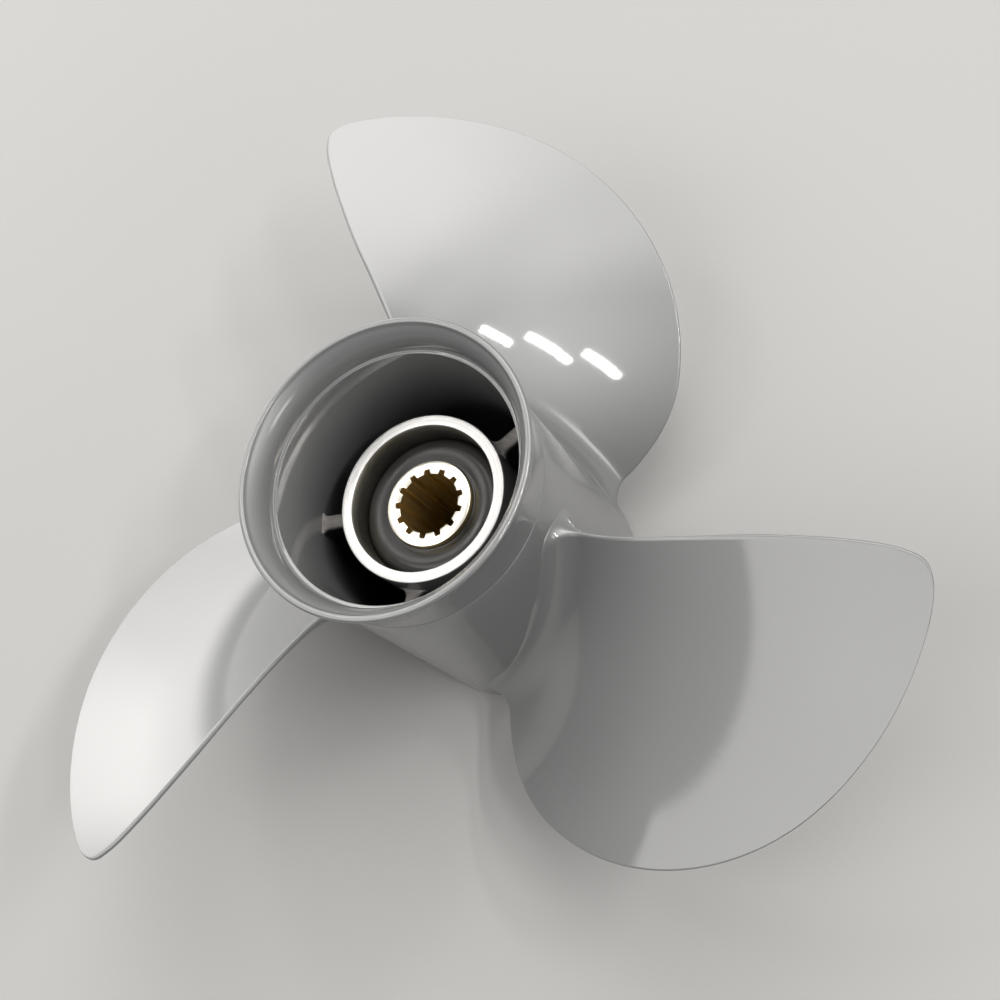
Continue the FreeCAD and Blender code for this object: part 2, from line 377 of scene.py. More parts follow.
# %% Gloss grey paint
GREY_LOW = (0.182, 0.187, 0.189, 1.0)
GREY_HIGH = (0.194, 0.199, 0.201, 1.0)
# Painted shade colours, near black, for deep inside the hub and below the rib ends.
PAINTED_SHADE_LOW = (0.005, 0.0055, 0.006, 1.0)
PAINTED_SHADE_HIGH = (0.014, 0.015, 0.016, 1.0)
FLAKE = 0.40
NIB_SCALE = 85.0
NIB_CENTRE, NIB_EDGE = 0.018, 0.040
RARE = 0.80
PEEL_SCALE, PEEL_SHARE = 650.0, 0.05


def gloss_paint():
    """Grey enamel under clear coat: soft clouding, orange peel, dust nibs, painted shade deep inside."""
    material, tree, surface = new_material("gloss_grey_paint")
    link = tree.links.new
    point = object_point(tree)
    deep = hub_place(tree)["Depth inside"]
    cloud = spread(tree, noise(tree, point, 14.0, 2.0), 0.35, 0.65, 0.0, 1.0)
    outside = blend_colours(tree, cloud, GREY_LOW, GREY_HIGH)
    # Painted shade: deep inside the hub the colour turns near black, and the flake and coat fade out.
    painted_shade_inside = blend_colours(tree, noise(tree, point, 90.0, 4.0), PAINTED_SHADE_LOW, PAINTED_SHADE_HIGH)
    link(blend_colours(tree, deep, outside, painted_shade_inside), surface.inputs["Base Color"])
    link(spread(tree, deep, 0.0, 1.0, FLAKE, 0.0), surface.inputs["Metallic"])
    link(spread(tree, deep, 0.2, 0.9, 1.0, 0.1), surface.inputs["Coat Weight"])
    surface.inputs["Roughness"].default_value = 0.48
    surface.inputs["Coat Roughness"].default_value = 0.05
    cells = tree.nodes.new("ShaderNodeTexVoronoi")
    cells.inputs["Scale"].default_value = NIB_SCALE
    link(point, cells.inputs["Vector"])
    chosen = shader_math(tree, "GREATER_THAN", cells.outputs["Color"], RARE)
    dot = spread(tree, cells.outputs["Distance"], NIB_CENTRE, NIB_EDGE, 1.0, 0.0)
    nib = shader_math(tree, "MULTIPLY", dot, chosen)
    peel = shader_math(tree, "MULTIPLY", noise(tree, point, PEEL_SCALE, 1.0), PEEL_SHARE)
    skin = bump(tree, shader_math(tree, "ADD", nib, peel), 0.25, 0.0003)
    link(skin, surface.inputs["Normal"])
    link(skin, surface.inputs["Coat Normal"])
    return material


PAINT = gloss_paint()
print("material:", PAINT.name)

# %% [markdown]
# ## Lathe marks
# The tube's end and the sleeve's end were both faced on a lathe, which leaves fine rings about the
# shaft. Noise read along the radius alone gives rings, and a little plain noise breaks them up.

# %% The turned-marks group
def turned_marks_group():
    """Fine lathe rings about the shaft: a value from 0 to 1 that changes with radius."""
    group = bpy.data.node_groups.new("turned_marks", "ShaderNodeTree")
    for label in ("Ring scale", "Radius"):
        group.interface.new_socket(name=label, in_out="INPUT", socket_type="NodeSocketFloat")
    group.interface.new_socket(name="Marks", in_out="OUTPUT", socket_type="NodeSocketFloat")
    given, result = group.nodes.new("NodeGroupInput"), group.nodes.new("NodeGroupOutput")
    rings = group.nodes.new("ShaderNodeTexNoise")
    rings.noise_dimensions = "1D"
    rings.inputs["Detail"].default_value = 3.0
    group.links.new(given.outputs["Radius"], rings.inputs["W"])
    group.links.new(given.outputs["Ring scale"], rings.inputs["Scale"])
    drag = noise(group, object_point(group), 120.0, 3.0)
    mix = shader_math(group, "ADD", shader_math(group, "MULTIPLY", rings.outputs["Fac"], 0.65),
                      shader_math(group, "MULTIPLY", drag, 0.35))
    group.links.new(spread(group, mix, 0.33, 0.67, 0.0, 1.0), result.inputs["Marks"])
    return group


TURNED_MARKS = turned_marks_group()


def turned_marks(tree, radius, ring_scale):
    """Use the group in a material."""
    node = tree.nodes.new("ShaderNodeGroup")
    node.node_tree = TURNED_MARKS
    node.inputs["Ring scale"].default_value = ring_scale
    tree.links.new(radius, node.inputs["Radius"])
    return node.outputs["Marks"]


print("shared group:", TURNED_MARKS.name)

# %% [markdown]
# ## Bare machined metal
# Only the tube's end face and bore are bare. The paint stops at the edge, as it does when the end
# is faced after painting, so a mask by radius and height keeps the outer wall painted.

# %% Machined aluminium
def bare_metal():
    """The tube: bright faced end with lathe rings, bored inside and coloured dark as painted shade, paint
    left on the outside.
    """
    material, tree, surface = new_material("machined_aluminium")
    link = tree.links.new
    place = hub_place(tree)
    marks = turned_marks(tree, place["Radius"], 2600.0)
    face = spread(tree, place["Height"], TUBE_Z - 1.6 * MM, TUBE_Z - 0.5 * MM, 0.0, 1.0)
    wall = spread(tree, place["Radius"], TUBE_R - 0.45 * MM, TUBE_R - 0.25 * MM, 0.0, 1.0)
    below_edge = spread(tree, place["Height"], TUBE_Z - 0.5 * MM, TUBE_Z - 0.3 * MM, 1.0, 0.0)
    painted = shader_math(tree, "MULTIPLY", wall, below_edge)
    bored = noise(tree, object_point(tree, (0.12, 0.12, 1.0)), 1400.0, 2.0)
    bright = blend_colours(tree, marks, (0.56, 0.56, 0.55, 1.0), (0.86, 0.86, 0.85, 1.0))
    # Painted shade: the bore's metal is coloured dark olive grey, far darker than bare aluminium.
    dull = blend_colours(tree, bored, (0.15, 0.15, 0.13, 1.0), (0.30, 0.295, 0.265, 1.0))
    bare = blend_colours(tree, face, dull, bright)
    link(blend_colours(tree, painted, bare, GREY_LOW), surface.inputs["Base Color"])
    link(spread(tree, painted, 0.0, 1.0, 1.0, 0.35), surface.inputs["Metallic"])
    link(spread(tree, marks, 0.0, 1.0, 0.30, 0.46), surface.inputs["Roughness"])
    link(painted, surface.inputs["Coat Weight"])
    rings = shader_math(tree, "MULTIPLY", marks, face)
    link(bump(tree, rings, 0.35, 0.00006), surface.inputs["Normal"])
    return material


METAL = bare_metal()
print("material:", METAL.name)

# %% [markdown]
# ## Raw casting
# The ribs keep the grainy skin of the mould on their ends and are coloured near black below them as painted
# shade.

# %% Cast aluminium
def raw_casting():
    """Grainy skin of the rib ends, with painted shade below them."""
    material, tree, surface = new_material("cast_aluminium")
    point = object_point(tree)
    place = hub_place(tree)
    grain = noise(tree, point, 700.0, 4.0, 0.6)
    skin = blend_colours(tree, grain, (0.13, 0.122, 0.115, 1.0), (0.34, 0.325, 0.31, 1.0))
    # Painted shade: below their ends the ribs are coloured near black.
    dark = blend_colours(tree, grain, PAINTED_SHADE_LOW, PAINTED_SHADE_HIGH)
    top = spread(tree, place["Height"], RIB_Z - 1.6 * MM, RIB_Z - 0.4 * MM, 0.0, 1.0)
    tree.links.new(blend_colours(tree, top, dark, skin), surface.inputs["Base Color"])
    tree.links.new(spread(tree, top, 0.0, 1.0, 0.0, 0.6), surface.inputs["Metallic"])
    surface.inputs["Roughness"].default_value = 0.5
    tree.links.new(bump(tree, grain, 0.5, 0.0004), surface.inputs["Normal"])
    return material


CASTING = raw_casting()
print("material:", CASTING.name)

# %% [markdown]
# ## Rubber
# Moulded black rubber, smooth enough to hold a soft highlight on its shoulder, with grease on it.

# %% Bushing rubber
def black_rubber():
    """Moulded rubber with a greasy film: patches of sheen and brownish smears of grease."""
    material, tree, surface = new_material("bushing_rubber")
    point = object_point(tree)
    smear = noise(tree, point, 60.0, 3.0)
    grease = spread(tree, noise(tree, point, 26.0, 2.0), 0.55, 0.75, 0.0, 1.0)
    black = blend_colours(tree, smear, (0.010, 0.010, 0.010, 1.0), (0.030, 0.029, 0.028, 1.0))
    smeared = blend_colours(tree, grease, black, (0.060, 0.042, 0.026, 1.0))
    tree.links.new(smeared, surface.inputs["Base Color"])
    tree.links.new(spread(tree, smear, 0.3, 0.7, 0.24, 0.40), surface.inputs["Roughness"])
    tree.links.new(bump(tree, noise(tree, point, 300.0, 3.0), 0.15, 0.0003), surface.inputs["Normal"])
    return material


RUBBER = black_rubber()
print("material:", RUBBER.name)

# %% [markdown]
# ## Brass
# The sleeve's end is faced and coloured near white, a painted highlight over its brass, with a pale golden
# edge. Its bore is darker and browner, drawn lengthwise by the broach that cut the grooves, so that noise is
# stretched along the shaft.

# %% Sleeve brass
def turned_brass():
    """Faced end coloured near white as a painted highlight, with a golden edge; oiled brown-gold splines
    inside.
    """
    material, tree, surface = new_material("sleeve_brass")
    link = tree.links.new
    place = hub_place(tree)
    marks = turned_marks(tree, place["Radius"], 3600.0)
    face = spread(tree, place["Height"], SLEEVE_Z - 0.25 * MM, SLEEVE_Z - 0.08 * MM, 0.0, 1.0)
    # Painted highlight: the faced end's colour is near white, paler than brass.
    bright = blend_colours(tree, marks, (0.93, 0.88, 0.74, 1.0), (1.0, 0.98, 0.90, 1.0))
    drawn = noise(tree, object_point(tree, (1.0, 1.0, 0.06)), 900.0, 3.0)
    oiled = blend_colours(tree, drawn, (0.62, 0.47, 0.20, 1.0), (0.86, 0.70, 0.36, 1.0))
    link(blend_colours(tree, face, oiled, bright), surface.inputs["Base Color"])
    surface.inputs["Metallic"].default_value = 1.0
    link(spread(tree, face, 0.0, 1.0, 0.38, 0.30), surface.inputs["Roughness"])
    rings = shader_math(tree, "MULTIPLY", marks, face)
    link(bump(tree, rings, 0.2, 0.00005), surface.inputs["Normal"])
    return material


BRASS = turned_brass()
print("material:", BRASS.name)

# %% [markdown]
# ## Blades
# The working face of each blade is a true screw: every point climbs with its angle, by one pitch a
# turn. So the blade is cut as a flat pattern of radius and angle, and a node tree winds the pattern
# onto the screw, adds the thickness, and repeats it round the hub.
# The outline is seventeen angles, from the leading root round the tip to the trailing root. The
# foot spreads into the barrel with a round fillet, and its edges thicken as they near the barrel.

# %% The flat pattern of one blade
OUTLINE = [-47.5, -45.7, -40.9, -32.4, -22.6, -12.1, -1.1, 11.2, 22.5,
           27.0, 28.4, 28.85, 28.8, 28.2, 26.6, 24.6, 24.0]
PATTERN_R = 36.4 * MM
ROOT_FILLET = 8.5 * MM
ROOT_THICK = 10.5 * MM
TIP_THICK = 2.2 * MM
EDGE_THICK = 1.5 * MM
ROOT_EDGE_THICK = 5.0 * MM
ROOT_EDGE_FADE = 14.0 * MM
TRAILING_FOOT = 0.4
RAKE_SLOPE = 0.098
RAKE_CURVE = 0.26
FIRST_ROW = 0.018
ROW_CROWDING = 1.5
WELD = 0.004 * MM


def outline_angle(position):
    """Edge angle in degrees: -1 is the leading root, 0 the tip, 1 the trailing root."""
    spans = len(OUTLINE) - 1
    along = (position + 1.0) * 0.5 * spans
    i = min(int(along), spans - 1)
    t = along - i
    here, after = OUTLINE[i], OUTLINE[i + 1]
    before = OUTLINE[i - 1] if i > 0 else 2 * here - after
    beyond = OUTLINE[i + 2] if i + 2 <= spans else 2 * after - here
    m0, m1 = 0.5 * (after - before), 0.5 * (beyond - here)
    return (here + m0 * t + (3 * (after - here) - 2 * m0 - m1) * t * t
            + (2 * here - 2 * after + m0 + m1) * t ** 3)


def barrel_radius(z):
    """The barrel is a little wider at the nose than at the seam."""
    share = min(max((SEAM_Z - z) / (SEAM_Z - NOSE_Z), 0.0), 1.0)
    return BARREL_R + (NOSE_R - BARREL_R) * share


def foot(radius, angle):
    """How far the root fillet stands off the blade at a point; angle in radians."""
    out = radius - BARREL_R
    z = BLADE_Z + PITCH * angle / (2 * math.pi) + RAKE_SLOPE * out - RAKE_CURVE * out * out
    left = min(max(barrel_radius(z) + ROOT_FILLET - radius, 0.0), ROOT_FILLET)
    return ROOT_FILLET - math.sqrt(ROOT_FILLET ** 2 - left ** 2)


def rounded(gap, radius):
    """Height of a round edge at a distance in from its end."""
    short = max(radius - gap, 0.0)
    return math.sqrt(max(radius * radius - short * short, 0.0))


def blade_pattern(rows, around):
    """A flat grid, once round the section by root to tip, that stores where each point will go.

    The root is closed with a strip of faces, so that the blade is a solid.
    """
    radii, angles, lifts, verts, faces = [], [], [], [], []
    for row in range(rows + 1):
        along = FIRST_ROW + (1.0 - FIRST_ROW) * (row / rows) ** ROW_CROWDING
        radius = PATTERN_R + (TIP_R - PATTERN_R) * math.sin(0.5 * math.pi * along)
        per_angle = math.hypot(radius, PITCH / (2 * math.pi))
        low = math.radians(outline_angle(along - 1.0))
        high = math.radians(outline_angle(1.0 - along))
        low -= foot(radius, low) / per_angle
        high += TRAILING_FOOT * foot(radius, high) / per_angle
        half_chord = 0.5 * (high - low) * per_angle
        height = max(radius - BARREL_R, 0.0)
        thick = ROOT_THICK + (TIP_THICK - ROOT_THICK) * height / (TIP_R - BARREL_R)
        near_root = max(1.0 - height / ROOT_EDGE_FADE, 0.0) ** 2
        edge = EDGE_THICK + (ROOT_EDGE_THICK - EDGE_THICK) * near_root
        for step in range(around + 1):
            across = -math.cos(2 * math.pi * step / around)
            angle = 0.5 * (low + high) + 0.5 * (high - low) * across
            gap = (1.0 - abs(across)) * half_chord
            lift = rounded(gap, 0.5 * edge)
            stand = rounded(gap, foot(radius, angle))
            offset = lift + stand
            if step * 2 > around:
                offset = -(offset + (thick - edge) * (1.0 - across * across))
            radii.append(radius)
            angles.append(angle)
            lifts.append(offset - 0.5 * edge)
            verts.append((step / around, row / rows, 0.0))
    wide = around + 1
    for row in range(rows):
        for step in range(around):
            a = row * wide + step
            faces.append((a, a + wide, a + wide + 1, a + 1))
    for step in range(around // 2 - 1):
        faces.append((step, step + 1, around - step - 1, around - step))
    faces.append((around // 2 - 1, around // 2, around // 2 + 1))
    mesh = bpy.data.meshes.new("blade_pattern")
    mesh.from_pydata(verts, [], faces)
    for name, numbers in (("radius", radii), ("angle", angles), ("lift", lifts)):
        store = mesh.attributes.new(name, "FLOAT", "POINT")
        store.data.foreach_set("value", numbers)
    obj = bpy.data.objects.new("blades", mesh)
    bpy.context.scene.collection.objects.link(obj)
    return obj


blades = blade_pattern(96, 144)
report(blades)

# %% [markdown]
# ## Winding the pattern
# The tree lifts every point by the pitch and the rake, stands it off along the screw's own normal
# for the thickness, and sets three copies round the hub. Bending a flat blade with a deformer would
# be quicker, but its pitch would not be true.

# %% Wind the pattern onto the screw and repeat it
def screw_tree():
    """The tree that makes blades out of the flat pattern."""
    tree, given, result = new_tree("wind_blades", [
        ("Pitch", "NodeSocketFloat", 0.33), ("Reference height", "NodeSocketFloat", 0.05),
        ("Hub radius", "NodeSocketFloat", 0.04), ("Rake slope", "NodeSocketFloat", 0.1),
        ("Rake curve", "NodeSocketFloat", 0.26), ("Blade count", "NodeSocketInt", 3),
        ("First angle", "NodeSocketFloat", 0.0), ("Paint", "NodeSocketMaterial", None)])
    link = tree.links.new
    radius, angle, lift = named(tree, "radius"), named(tree, "angle"), named(tree, "lift")
    climb = math_node(tree, "DIVIDE", given.outputs["Pitch"], 2 * math.pi)
    out = math_node(tree, "SUBTRACT", radius, given.outputs["Hub radius"])
    straight = math_node(tree, "MULTIPLY", given.outputs["Rake slope"], out)
    out_squared = math_node(tree, "MULTIPLY", out, out)
    bend = math_node(tree, "MULTIPLY", given.outputs["Rake curve"], out_squared)
    rake = math_node(tree, "SUBTRACT", straight, bend)
    rise = math_node(tree, "ADD", math_node(tree, "MULTIPLY", climb, angle), rake)
    height = math_node(tree, "ADD", rise, given.outputs["Reference height"])
    cosine, sine = math_node(tree, "COSINE", angle), math_node(tree, "SINE", angle)
    place = tree.nodes.new("ShaderNodeCombineXYZ")
    link(math_node(tree, "MULTIPLY", radius, cosine), place.inputs[0])
    link(math_node(tree, "MULTIPLY", radius, sine), place.inputs[1])
    link(height, place.inputs[2])
    twice = math_node(tree, "MULTIPLY", math_node(tree, "MULTIPLY", given.outputs["Rake curve"], out), 2.0)
    slope = math_node(tree, "SUBTRACT", given.outputs["Rake slope"], twice)
    lean = math_node(tree, "MULTIPLY", radius, slope)
    aim = tree.nodes.new("ShaderNodeCombineXYZ")
    link(math_node(tree, "SUBTRACT", math_node(tree, "MULTIPLY", climb, sine),
                   math_node(tree, "MULTIPLY", lean, cosine)), aim.inputs[0])
    backwards = math_node(tree, "ADD", math_node(tree, "MULTIPLY", climb, cosine),
                          math_node(tree, "MULTIPLY", lean, sine))
    link(math_node(tree, "MULTIPLY", backwards, -1.0), aim.inputs[1])
    link(radius, aim.inputs[2])
    unit = tree.nodes.new("ShaderNodeVectorMath")
    unit.operation = "NORMALIZE"
    link(aim.outputs[0], unit.inputs[0])
    stand = tree.nodes.new("ShaderNodeVectorMath")
    stand.operation = "SCALE"
    link(unit.outputs[0], stand.inputs[0])
    link(lift, stand.inputs["Scale"])
    total = tree.nodes.new("ShaderNodeVectorMath")
    link(place.outputs[0], total.inputs[0])
    link(stand.outputs[0], total.inputs[1])
    # Thickness leans a point sideways and so outwards: pull it back to its own radius, so that the
    # thick back of the foot stays sunk in the barrel wall.
    apart = tree.nodes.new("ShaderNodeSeparateXYZ")
    link(total.outputs[0], apart.inputs[0])
    squares = math_node(tree, "ADD", math_node(tree, "MULTIPLY", apart.outputs[0], apart.outputs[0]),
                        math_node(tree, "MULTIPLY", apart.outputs[1], apart.outputs[1]))
    shrink = math_node(tree, "DIVIDE", radius, math_node(tree, "SQRT", squares))
    held = tree.nodes.new("ShaderNodeCombineXYZ")
    link(math_node(tree, "MULTIPLY", apart.outputs[0], shrink), held.inputs[0])
    link(math_node(tree, "MULTIPLY", apart.outputs[1], shrink), held.inputs[1])
    link(apart.outputs[2], held.inputs[2])
    move = tree.nodes.new("GeometryNodeSetPosition")
    link(given.outputs["Geometry"], move.inputs["Geometry"])
    link(held.outputs[0], move.inputs["Position"])
    done = ring_of_copies(tree, move.outputs[0], given.outputs["Blade count"],
                          given.outputs["First angle"], given.outputs["Paint"], WELD)
    link(done, result.inputs[0])
    return tree


grow(blades, screw_tree(), {"Pitch": PITCH, "Reference height": BLADE_Z, "Hub radius": BARREL_R,
                            "Rake slope": RAKE_SLOPE, "Rake curve": RAKE_CURVE, "Blade count": BLADE_COUNT,
                            "First angle": BLADE_ANGLE, "Paint": PAINT})
report(blades)

# %% [markdown]
# ## Hub skin
# The barrel and its flared rear ring are one turned skin: rounded nose, a long plain barrel, the
# fine seam line, the flare, a rolled lip, and inside it a flared mouth that ends in one small step.
# A spun profile keeps the lip's radius even all the way round, which is what its highlight follows.

# %% Hub skin
def hub_profile():
    """The skin's section: up the outside, over the lip and down the inside."""
    points = []
    nose = barrel_radius(NOSE_Z + NOSE_ROUND) - NOSE_ROUND
    points += arc_points((nose, NOSE_Z + NOSE_ROUND), NOSE_ROUND, -90, 0, 10)
    points += [(barrel_radius(NOSE_Z + k * 12.5 * MM), NOSE_Z + k * 12.5 * MM) for k in range(1, 8)]
    points += [(BARREL_R, SEAM_Z - 0.40 * MM), (BARREL_R - 0.05 * MM, SEAM_Z - 0.22 * MM),
               (BARREL_R - 0.30 * MM, SEAM_Z), (BARREL_R - 0.05 * MM, SEAM_Z + 0.22 * MM),
               (BARREL_R + 0.02 * MM, SEAM_Z + 0.40 * MM)]
    points += curve_points((BARREL_R + 0.05 * MM, SEAM_Z + 1.2 * MM),
                           (BARREL_R + 0.35 * MM, SEAM_Z + 12.0 * MM),
                           (RIM_R, RIM_Z - LIP_ROUND), 18)
    points += arc_points((RIM_R - LIP_ROUND, RIM_Z - LIP_ROUND), LIP_ROUND, 0, 90, 10)[1:]
    points += curve_points((RIM_R - 1.25 * MM, RIM_Z), (RIM_R - 1.75 * MM, RIM_Z),
                           (RIM_R - 2.0 * MM, RIM_Z - 0.5 * MM), 5)
    points += curve_points((RIM_R - 2.2 * MM, RIM_Z - 1.0 * MM), (STEP_R + 0.2 * MM, RIM_Z - 4.5 * MM),
                           (STEP_R, STEP_Z + 0.5 * MM), 16)
    points += curve_points((STEP_R, STEP_Z + 0.3 * MM), (STEP_R, STEP_Z),
                           (STEP_R - 0.3 * MM, STEP_Z), 4)
    points += [(STEP_R - 0.7 * MM, STEP_Z)]
    points += curve_points((STEP_R - 0.85 * MM, STEP_Z), (STEP_R - 1.1 * MM, STEP_Z),
                           (STEP_R - 1.1 * MM, STEP_Z - 0.3 * MM), 4)
    points += [(BARREL_IN + 0.2 * MM, SEAM_Z + 4.0 * MM), (BARREL_IN, SEAM_Z)]
    points += [(BARREL_IN, SEAM_Z - k * 15.0 * MM) for k in range(1, 6)]
    points += arc_points((BARREL_IN + 0.6 * MM, NOSE_Z + 0.6 * MM), 0.6 * MM, 180, 270, 4)
    return points


hub = spin("hub_skin", hub_profile(), 256)
sharpen(hub, 40)
hub.data.materials.append(PAINT)
report(hub)

# %% [markdown]
# ## Inner tube
# The tube that holds the bushing is cast with the hub, then its rear end is faced off on a lathe.
# The bare ring keeps a tiny bevel on both edges, and the bore has a short wider mouth.

# %% Inner tube
def tube_profile():
    """The tube's section: up the outside, across the faced end and down the bore."""
    front = TUBE_FRONT_Z
    points = [(TUBE_R - 0.5 * MM, front), (TUBE_R - 0.15 * MM, front + 0.15 * MM)]
    points += [(TUBE_R, front + 0.5 * MM)]
    points += [(TUBE_R, front + k * 12.0 * MM) for k in range(1, 7)]
    points += arc_points((TUBE_R - 0.4 * MM, TUBE_Z - 0.4 * MM), 0.4 * MM, 0, 90, 4)
    points += [(TUBE_R - 0.9 * MM, TUBE_Z), (TUBE_IN + 1.0 * MM, TUBE_Z)]
    points += arc_points((TUBE_IN + 0.55 * MM, TUBE_Z - 0.3 * MM), 0.3 * MM, 90, 180, 4)
    points += [(TUBE_IN + 0.25 * MM, TUBE_Z - 1.4 * MM), (TUBE_IN, TUBE_Z - 1.9 * MM)]
    points += [(TUBE_IN, TUBE_Z - 4.0 * MM)]
    points += [(TUBE_IN, TUBE_Z - 4.0 * MM - k * 12.0 * MM) for k in range(1, 7)]
    points += [(TUBE_IN, front + 0.3 * MM), (TUBE_IN + 0.3 * MM, front)]
    return points


tube = spin("inner_tube", tube_profile(), 192)
sharpen(tube, 30)
tube.data.materials.append(METAL)
report(tube)

# %% [markdown]
# ## Ribs
# Three webs tie the tube to the barrel. Each is waisted, with round fillets where it runs into the
# walls. They are not evenly spaced, so an even ring of copies would put them wrong: one rib is
# modelled at angle zero, and a tree turns a copy of it to each of three named angles.

# %% Ribs
def one_rib(waist, fillet):
    """A web seen from aft: waisted flanks, foot fillets on the tube and on the barrel."""
    inner, outer = TUBE_R - 0.3 * MM, BARREL_IN + 0.3 * MM
    steps = 12
    flank = []
    for i in range(steps + 1):
        a = 0.5 * math.pi * i / steps
        flank.append((inner + fillet * (1 - math.cos(a)) * 0.9, waist + fillet * (1 - math.sin(a))))
    for i in range(steps, -1, -1):
        a = 0.5 * math.pi * i / steps
        flank.append((outer - fillet * (1 - math.cos(a)) * 0.9, waist + fillet * (1 - math.sin(a))))
    flank = [(r, min(w, waist + fillet)) for r, w in flank]
    levels = [(0.0, 0.0), (0.6 * MM, 0.0)] + [(k * 11.6 * MM, 0.0) for k in range(1, 7)]
    levels += [(RIB_Z - 0.9 * MM, 0.0), (RIB_Z - 0.45 * MM, 0.12 * MM), (RIB_Z - 0.12 * MM, 0.45 * MM),
               (RIB_Z, 0.9 * MM)]
    verts, faces = [], []
    wide = len(flank)
    for z, shrink in levels:
        for side in (1, -1):
            for r, w in flank:
                verts.append((r, side * (w - shrink), z))
    for k in range(len(levels) - 1):
        base, top = k * 2 * wide, (k + 1) * 2 * wide
        for i in range(wide - 1):
            faces.append((base + i + 1, base + i, top + i, top + i + 1))
            faces.append((base + wide + i, base + wide + i + 1, top + wide + i + 1, top + wide + i))
        faces.append((base, base + wide, top + wide, top))
        faces.append((base + 2 * wide - 1, base + wide - 1, top + wide - 1, top + 2 * wide - 1))
    last = (len(levels) - 1) * 2 * wide
    for i in range(wide - 1):
        faces.append((last + i, last + wide + i, last + wide + i + 1, last + i + 1))
        faces.append((i + 1, wide + i + 1, wide + i, i))
    mesh = bpy.data.meshes.new("one_rib")
    mesh.from_pydata(verts, [], faces)
    obj = bpy.data.objects.new("ribs", mesh)
    bpy.context.scene.collection.objects.link(obj)
    return obj


def rib_tree():
    """Turn a copy of one rib to each named angle and join the copies."""
    labels = ["Angle " + str(number + 1) for number in range(len(RIB_ANGLES))]
    tree, given, result = new_tree("turn_ribs", [(label, "NodeSocketFloat", 0.0) for label in labels]
                                   + [("Finish", "NodeSocketMaterial", None)])
    join = tree.nodes.new("GeometryNodeJoinGeometry")
    for label in labels:
        spinner = tree.nodes.new("ShaderNodeCombineXYZ")
        turned = tree.nodes.new("GeometryNodeTransform")
        tree.links.new(given.outputs[label], spinner.inputs["Z"])
        tree.links.new(given.outputs["Geometry"], turned.inputs["Geometry"])
        tree.links.new(spinner.outputs[0], turned.inputs["Rotation"])
        tree.links.new(turned.outputs[0], join.inputs[0])
    real = tree.nodes.new("GeometryNodeRealizeInstances")
    smooth = tree.nodes.new("GeometryNodeSetShadeSmooth")
    finish = tree.nodes.new("GeometryNodeSetMaterial")
    tree.links.new(join.outputs[0], real.inputs[0])
    tree.links.new(real.outputs[0], smooth.inputs["Geometry"])
    tree.links.new(smooth.outputs[0], finish.inputs["Geometry"])
    tree.links.new(given.outputs["Finish"], finish.inputs["Material"])
    tree.links.new(finish.outputs[0], result.inputs[0])
    return tree


ribs = one_rib(2.3 * MM, 3.0 * MM)
grow(ribs, rib_tree(), {"Angle 1": RIB_ANGLES[0], "Angle 2": RIB_ANGLES[1], "Angle 3": RIB_ANGLES[2],
                        "Finish": CASTING})
sharpen(ribs, 50)
report(ribs)

# %% [markdown]
# ## Rubber bushing
# A thick moulded ring between tube and sleeve. Its end swells up into a soft round shoulder and
# dips again beside the sleeve, as pressed rubber does.

# %% Rubber bushing
def rubber_profile():
    """The bushing's section: along the front, up the outside and over the soft shoulder."""
    outer = TUBE_IN - RUBBER_GAP
    low, high, soft = RUBBER_FRONT_Z, RUBBER_Z, RUBBER_ROUND
    points = [(SLEEVE_R, low), (outer - soft, low)]
    points += arc_points((outer - soft, low + soft), soft, -90, 0, 10)[1:]
    points += [(outer, low + soft + k * 9.5 * MM) for k in range(1, 6)]
    points += arc_points((outer - 3.6 * MM, high - 4.6 * MM), 3.6 * MM, 0, 70, 14)
    points += curve_points((outer - 2.6 * MM, high - 1.15 * MM), (outer - 4.2 * MM, high - 0.35 * MM),
                           (SLEEVE_R + 1.9 * MM, high - 0.9 * MM), 12)
    points += curve_points((SLEEVE_R + 1.2 * MM, high - 1.05 * MM), (SLEEVE_R + 0.3 * MM, high - 1.2 * MM),
                           (SLEEVE_R, high - 0.8 * MM), 5)
    return points


rubber = spin("rubber", rubber_profile(), 160)
sharpen(rubber, 45)
rubber.data.materials.append(RUBBER)
report(rubber)

# %% [markdown]
# ## Splined sleeve
# The brass sleeve has thirteen grooves cut along its bore behind a short plain pilot. One groove's
# slice is modelled, and a tree repeats it thirteen times and welds the slices into one ring. Cutting
# thirteen slots out of a plain tube was the other way, but it leaves long thin faces.

